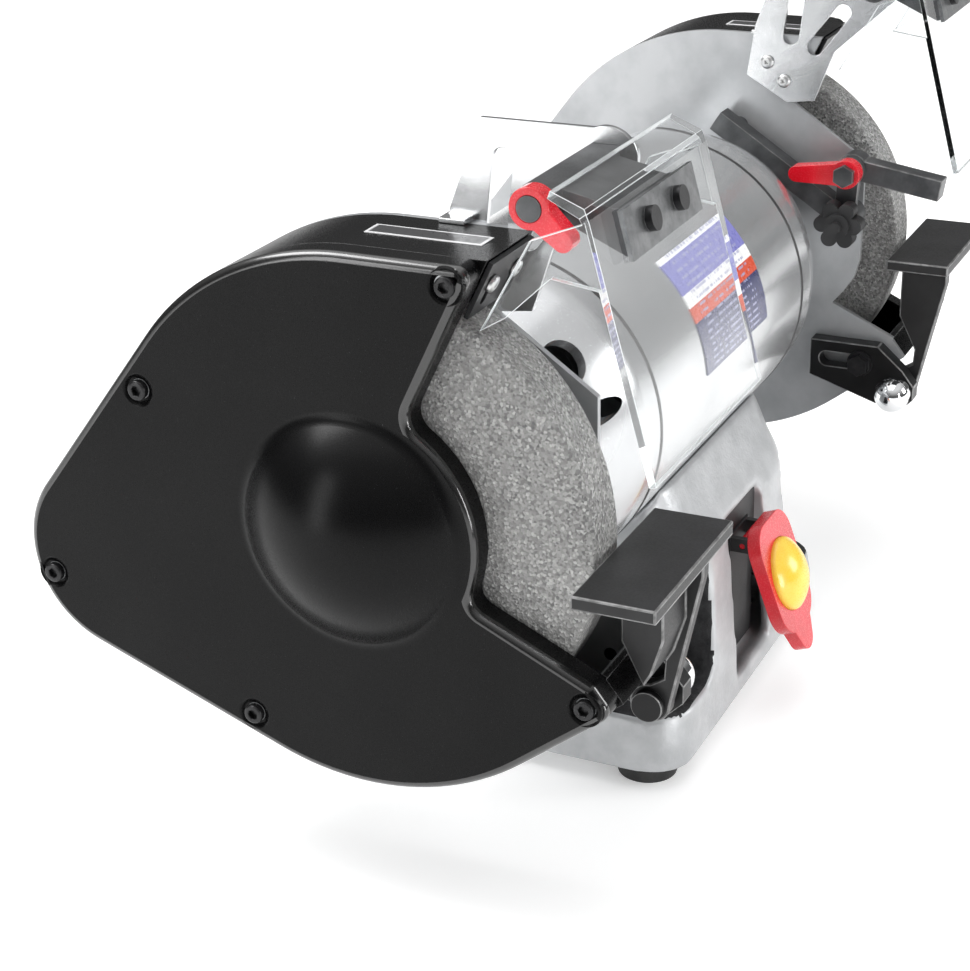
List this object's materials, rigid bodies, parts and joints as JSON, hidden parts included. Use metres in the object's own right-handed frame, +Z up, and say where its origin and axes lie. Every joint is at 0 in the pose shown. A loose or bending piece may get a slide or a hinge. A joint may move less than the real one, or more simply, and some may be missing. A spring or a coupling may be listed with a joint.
{
  "type": "bench grinder",
  "caption": "Industrial bench grinder with two wheels in closed black guards, clear eye shields, tool rests and a paddle switch on a cast pedestal.",
  "frame": {"origin": "centre of the four bench bolts on the plane of the bench", "axes": "+X along the spindle to the operator's right, -Y towards the operator, +Z up"},
  "size_m": [0.575, 0.3089, 0.347],
  "materials": {
    "base_paint": "rough cast iron under silver-grey paint",
    "motor_paint": "smooth light silver-grey paint",
    "plate_paint": "mid-grey paint",
    "guard_paint": "satin black paint",
    "rest_paint": "cast iron, painted dark charcoal, fine grain",
    "zinc_steel": "zinc plated steel",
    "black_steel": "blackened steel screws",
    "grey_steel": "dark grey phosphated steel",
    "ground_steel": "bright ground steel",
    "core_steel": "stacked laminations",
    "copper": "varnished copper wire",
    "chrome": "bright chrome plate",
    "rubber": "black rubber",
    "black_plastic": "fine textured moulding",
    "red_plastic": "bright red moulding",
    "yellow_plastic": "warm yellow moulding",
    "label_print": "printed film",
    "blotter_paper": "absorbent paper",
    "abrasive": "coarse vitrified grey grit",
    "clear_sheet": "clear bent polycarbonate sheet"
  },
  "bodies": {
    "grinder": {"base_casting": "base_paint", "base_bottom_plate": "zinc_steel", "bottom_plate_screws": "black_steel", "rubber_feet": "rubber", "switch_plate": "black_plastic", "switch_body": "black_plastic", "cord_gland": "black_plastic", "run_capacitor": "zinc_steel", "motor_shell": "motor_paint", "left_end_bell": "motor_paint", "right_end_bell": "motor_paint", "end_bell_screws": "black_steel", "stator_core": "core_steel", "stator_windings": "copper", "rating_plate": "label_print", "motor_mount_screws": "black_steel", "ball_bearings": "ground_steel", "left_guard_plate": "plate_paint", "right_guard_plate": "plate_paint", "left_guard_band": "guard_paint", "right_guard_band": "guard_paint", "left_cover": "guard_paint", "right_cover": "guard_paint", "cover_screws": "black_steel", "guard_screws": "black_steel", "pan_head_screws": "black_steel", "left_shield_post": "ground_steel", "right_shield_post": "ground_steel", "rest_bolts": "black_steel", "side_arm_rear_bar": "grey_steel"},
    "rotor": {"rotor_shaft": "ground_steel", "rotor_core": "core_steel", "cooling_fan": "black_plastic", "wheel_flanges": "zinc_steel", "wheel_blotters": "blotter_paper", "left_wheel": "abrasive", "right_wheel": "abrasive", "left_arbor_nut": "zinc_steel", "right_arbor_nut": "zinc_steel"},
    "switch_paddle": {"paddle": "red_plastic", "paddle_centre": "yellow_plastic"},
    "left_deflector": {"left_spark_deflector": "guard_paint"},
    "right_deflector": {"right_spark_deflector": "guard_paint"},
    "left_shield": {"left_shield_rod": "grey_steel", "left_eye_shield": "clear_sheet", "left_shield_clamp": "grey_steel"},
    "right_shield": {"right_shield_rod": "grey_steel", "right_eye_shield": "clear_sheet", "right_shield_clamp": "grey_steel"},
    "left_lever": {"left_shield_lever": "red_plastic"},
    "right_lever": {"right_shield_lever": "red_plastic"},
    "left_rest": {"left_rest_bracket": "rest_paint"},
    "right_rest": {"right_rest_bracket": "rest_paint"},
    "left_table": {"left_rest_table": "rest_paint"},
    "right_table": {"right_rest_table": "rest_paint"},
    "left_nut": {"left_rest_knob": "chrome"},
    "right_nut": {"right_rest_knob": "chrome"},
    "arm_bar": {"side_arm_front_bar": "grey_steel"},
    "arm_knob": {"side_arm_knob": "black_plastic"},
    "arm_lever": {"side_arm_lever": "red_plastic"}
  },
  "joints": [
    {"name": "rotor_spin", "type": "hinge", "parent": "grinder", "child": "rotor", "pos_m": [0, 0, 0.184], "axis": [1, 0, 0], "continuous": true},
    {"name": "paddle_tilt", "type": "hinge", "parent": "grinder", "child": "switch_paddle", "pos_m": [0, -0.089, 0.089], "axis": [-1, 0, 0], "range_deg": [0, 12]},
    {"name": "left_deflector_slide", "type": "slide", "parent": "grinder", "child": "left_deflector", "axis": [0, -0.4384, 0.8988], "range_m": [0, 0.008]},
    {"name": "left_shield_tilt", "type": "hinge", "parent": "grinder", "child": "left_shield", "pos_m": [-0.1945, -0.088, 0.334], "axis": [-1, 0, 0], "range_deg": [0, 70]},
    {"name": "left_lever_turn", "type": "hinge", "parent": "left_shield", "child": "left_lever", "pos_m": [-0.2658, -0.088, 0.334], "axis": [1, 0, 0], "range_deg": [0, 90]},
    {"name": "left_rest_slide", "type": "slide", "parent": "grinder", "child": "left_rest", "axis": [0, -1, 0], "range_m": [0, 0.02]},
    {"name": "left_table_tilt", "type": "hinge", "parent": "left_rest", "child": "left_table", "pos_m": [-0.216, -0.11303, 0.10496], "axis": [1, 0, 0], "range_deg": [0, 20]},
    {"name": "left_nut_turn", "type": "hinge", "parent": "left_rest", "child": "left_nut", "pos_m": [-0.18, -0.11303, 0.10496], "axis": [1, 0, 0], "range_deg": [0, 180]},
    {"name": "right_deflector_slide", "type": "slide", "parent": "grinder", "child": "right_deflector", "axis": [0, -0.4384, 0.8988], "range_m": [0, 0.008]},
    {"name": "right_shield_tilt", "type": "hinge", "parent": "grinder", "child": "right_shield", "pos_m": [0.1945, -0.088, 0.334], "axis": [-1, 0, 0], "range_deg": [0, 70]},
    {"name": "right_lever_turn", "type": "hinge", "parent": "right_shield", "child": "right_lever", "pos_m": [0.2658, -0.088, 0.334], "axis": [1, 0, 0], "range_deg": [0, 90]},
    {"name": "right_rest_slide", "type": "slide", "parent": "grinder", "child": "right_rest", "axis": [0, -1, 0], "range_m": [0, 0.02]},
    {"name": "right_table_tilt", "type": "hinge", "parent": "right_rest", "child": "right_table", "pos_m": [0.216, -0.11303, 0.10496], "axis": [1, 0, 0], "range_deg": [0, 20]},
    {"name": "right_nut_turn", "type": "hinge", "parent": "right_rest", "child": "right_nut", "pos_m": [0.18, -0.11303, 0.10496], "axis": [1, 0, 0], "range_deg": [0, 180]},
    {"name": "arm_bar_swing", "type": "hinge", "parent": "grinder", "child": "arm_bar", "pos_m": [0.189, -0.082, 0.234], "axis": [-1, 0, 0], "range_deg": [0, 60]},
    {"name": "arm_knob_turn", "type": "hinge", "parent": "grinder", "child": "arm_knob", "pos_m": [0.172, -0.08, 0.206], "axis": [1, 0, 0], "range_deg": [0, 180]},
    {"name": "arm_lever_turn", "type": "hinge", "parent": "grinder", "child": "arm_lever", "pos_m": [0.1736, -0.082, 0.234], "axis": [1, 0, 0], "range_deg": [0, 50]}
  ]
}
